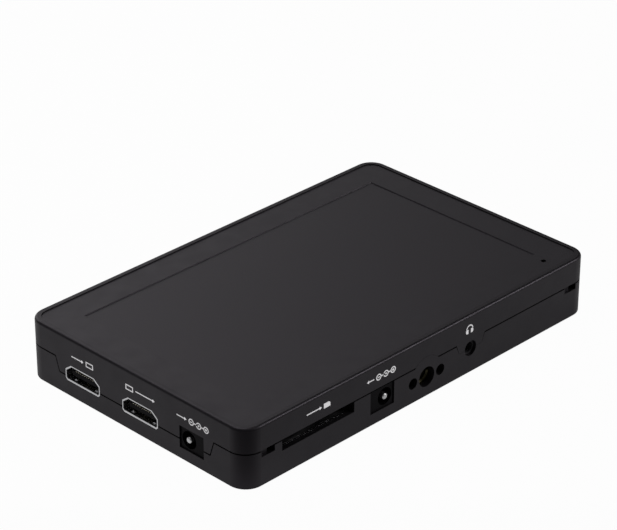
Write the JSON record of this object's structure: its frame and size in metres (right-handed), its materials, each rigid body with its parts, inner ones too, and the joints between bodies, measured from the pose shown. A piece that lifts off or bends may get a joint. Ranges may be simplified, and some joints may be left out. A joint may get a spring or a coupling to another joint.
{
  "type": "camera field monitor",
  "caption": "Slim on-camera field monitor with a wide screen, side sockets, a card slot, a tripod thread and a battery bay in its back.",
  "frame": {"origin": "centre of the back face, on the surface the monitor lies on", "axes": "+X to the right of the picture, +Y to its top, +Z out of the screen"},
  "size_m": [0.147, 0.0924, 0.0199],
  "materials": {
    "front_plastic": "fine moulded texture, black",
    "rear_plastic": "fine moulded texture, black",
    "screen": "smoked cover with a soft anti-glare finish",
    "gasket_rubber": "closed-cell foam",
    "panel_glass": "display glass",
    "backlight_sheet": "pressed tray",
    "frame_aluminium": "bead blasted",
    "flex_film": "polyimide film",
    "board_laminate": "solder mask",
    "chip_plastic": "moulded epoxy",
    "pad_rubber": "silicone",
    "socket_steel": "nickel plated",
    "insulator": "moulded nylon",
    "contact_brass": "gold plated",
    "video_contact": "gold plated, bright",
    "jack_nylon": "moulded nylon, dark grey",
    "pin_chrome": "nickel plated, bright",
    "spring_steel": "drawn wire",
    "block_brass": "machined",
    "black_screw": "black zinc",
    "plain_screw": "zinc plated",
    "plate_plastic": "glass-filled nylon",
    "latch_plastic": "acetal",
    "lead_sleeve": "wire insulation",
    "smoked_window": "smoked acrylic",
    "lamp": "lamp lens",
    "key_plastic": "fine moulded texture, black"
  },
  "bodies": {
    "housing": {"front_shell": "front_plastic", "rear_shell": "rear_plastic", "screen_cover": "screen", "cover_gasket": "gasket_rubber", "lcd_panel": "panel_glass", "backlight_unit": "backlight_sheet", "mid_frame": "frame_aluminium", "screen_flex": "flex_film", "main_board": "board_laminate", "board_chips": "chip_plastic", "thermal_pad": "pad_rubber", "heat_spreader": "frame_aluminium", "video_in_shell": "socket_steel", "video_in_tongue": "insulator", "video_in_contacts": "video_contact", "video_out_shell": "socket_steel", "video_out_tongue": "insulator", "video_out_contacts": "video_contact", "power_out_jack": "insulator", "power_out_pin": "pin_chrome", "power_in_jack": "insulator", "power_in_pin": "pin_chrome", "card_socket_base": "insulator", "card_socket_cover": "socket_steel", "card_contacts": "contact_brass", "card_spring": "spring_steel", "headphone_jack": "jack_nylon", "headphone_contacts": "contact_brass", "mount_block": "block_brass", "mount_block_screws": "black_screw", "battery_plate": "plate_plastic", "battery_contacts": "contact_brass", "latch_spring": "spring_steel", "plate_screws": "black_screw", "battery_lead": "lead_sleeve", "key_board": "board_laminate", "key_switches": "insulator", "key_flex": "flex_film", "light_pipe": "smoked_window", "status_lamp": "lamp", "case_screws": "black_screw", "case_inserts": "block_brass", "board_screws": "plain_screw", "frame_screws": "plain_screw"},
    "power_key": {"power_key": "key_plastic"},
    "menu_key": {"menu_key": "key_plastic"},
    "minus_key": {"minus_key": "key_plastic"},
    "plus_key": {"plus_key": "key_plastic"},
    "key_1": {"key_1": "key_plastic"},
    "key_2": {"key_2": "key_plastic"},
    "card_slider": {"card_slider": "insulator"},
    "battery_latch": {"battery_latch": "latch_plastic"}
  },
  "joints": [
    {"name": "power_key_press", "type": "slide", "parent": "housing", "child": "power_key", "axis": [0, -1, 0], "range_m": [0, 0.00035], "stiffness_N_per_m": 500, "springref_m": -0.0006},
    {"name": "menu_key_press", "type": "slide", "parent": "housing", "child": "menu_key", "axis": [0, -1, 0], "range_m": [0, 0.00035], "stiffness_N_per_m": 500, "springref_m": -0.0006},
    {"name": "minus_key_press", "type": "slide", "parent": "housing", "child": "minus_key", "axis": [0, -1, 0], "range_m": [0, 0.00035], "stiffness_N_per_m": 500, "springref_m": -0.0006},
    {"name": "plus_key_press", "type": "slide", "parent": "housing", "child": "plus_key", "axis": [0, -1, 0], "range_m": [0, 0.00035], "stiffness_N_per_m": 500, "springref_m": -0.0006},
    {"name": "key_1_press", "type": "slide", "parent": "housing", "child": "key_1", "axis": [0, -1, 0], "range_m": [0, 0.00035], "stiffness_N_per_m": 500, "springref_m": -0.0006},
    {"name": "key_2_press", "type": "slide", "parent": "housing", "child": "key_2", "axis": [0, -1, 0], "range_m": [0, 0.00035], "stiffness_N_per_m": 500, "springref_m": -0.0006},
    {"name": "card_eject", "type": "slide", "parent": "housing", "child": "card_slider", "axis": [0, 1, 0], "range_m": [0, 0.0015], "stiffness_N_per_m": 200, "springref_m": -0.002, "deforming": ["card_spring"]},
    {"name": "latch_press", "type": "slide", "parent": "housing", "child": "battery_latch", "axis": [0, 0, 1], "range_m": [0, 0.0016], "stiffness_N_per_m": 300, "springref_m": -0.001, "deforming": ["latch_spring"]}
  ]
}
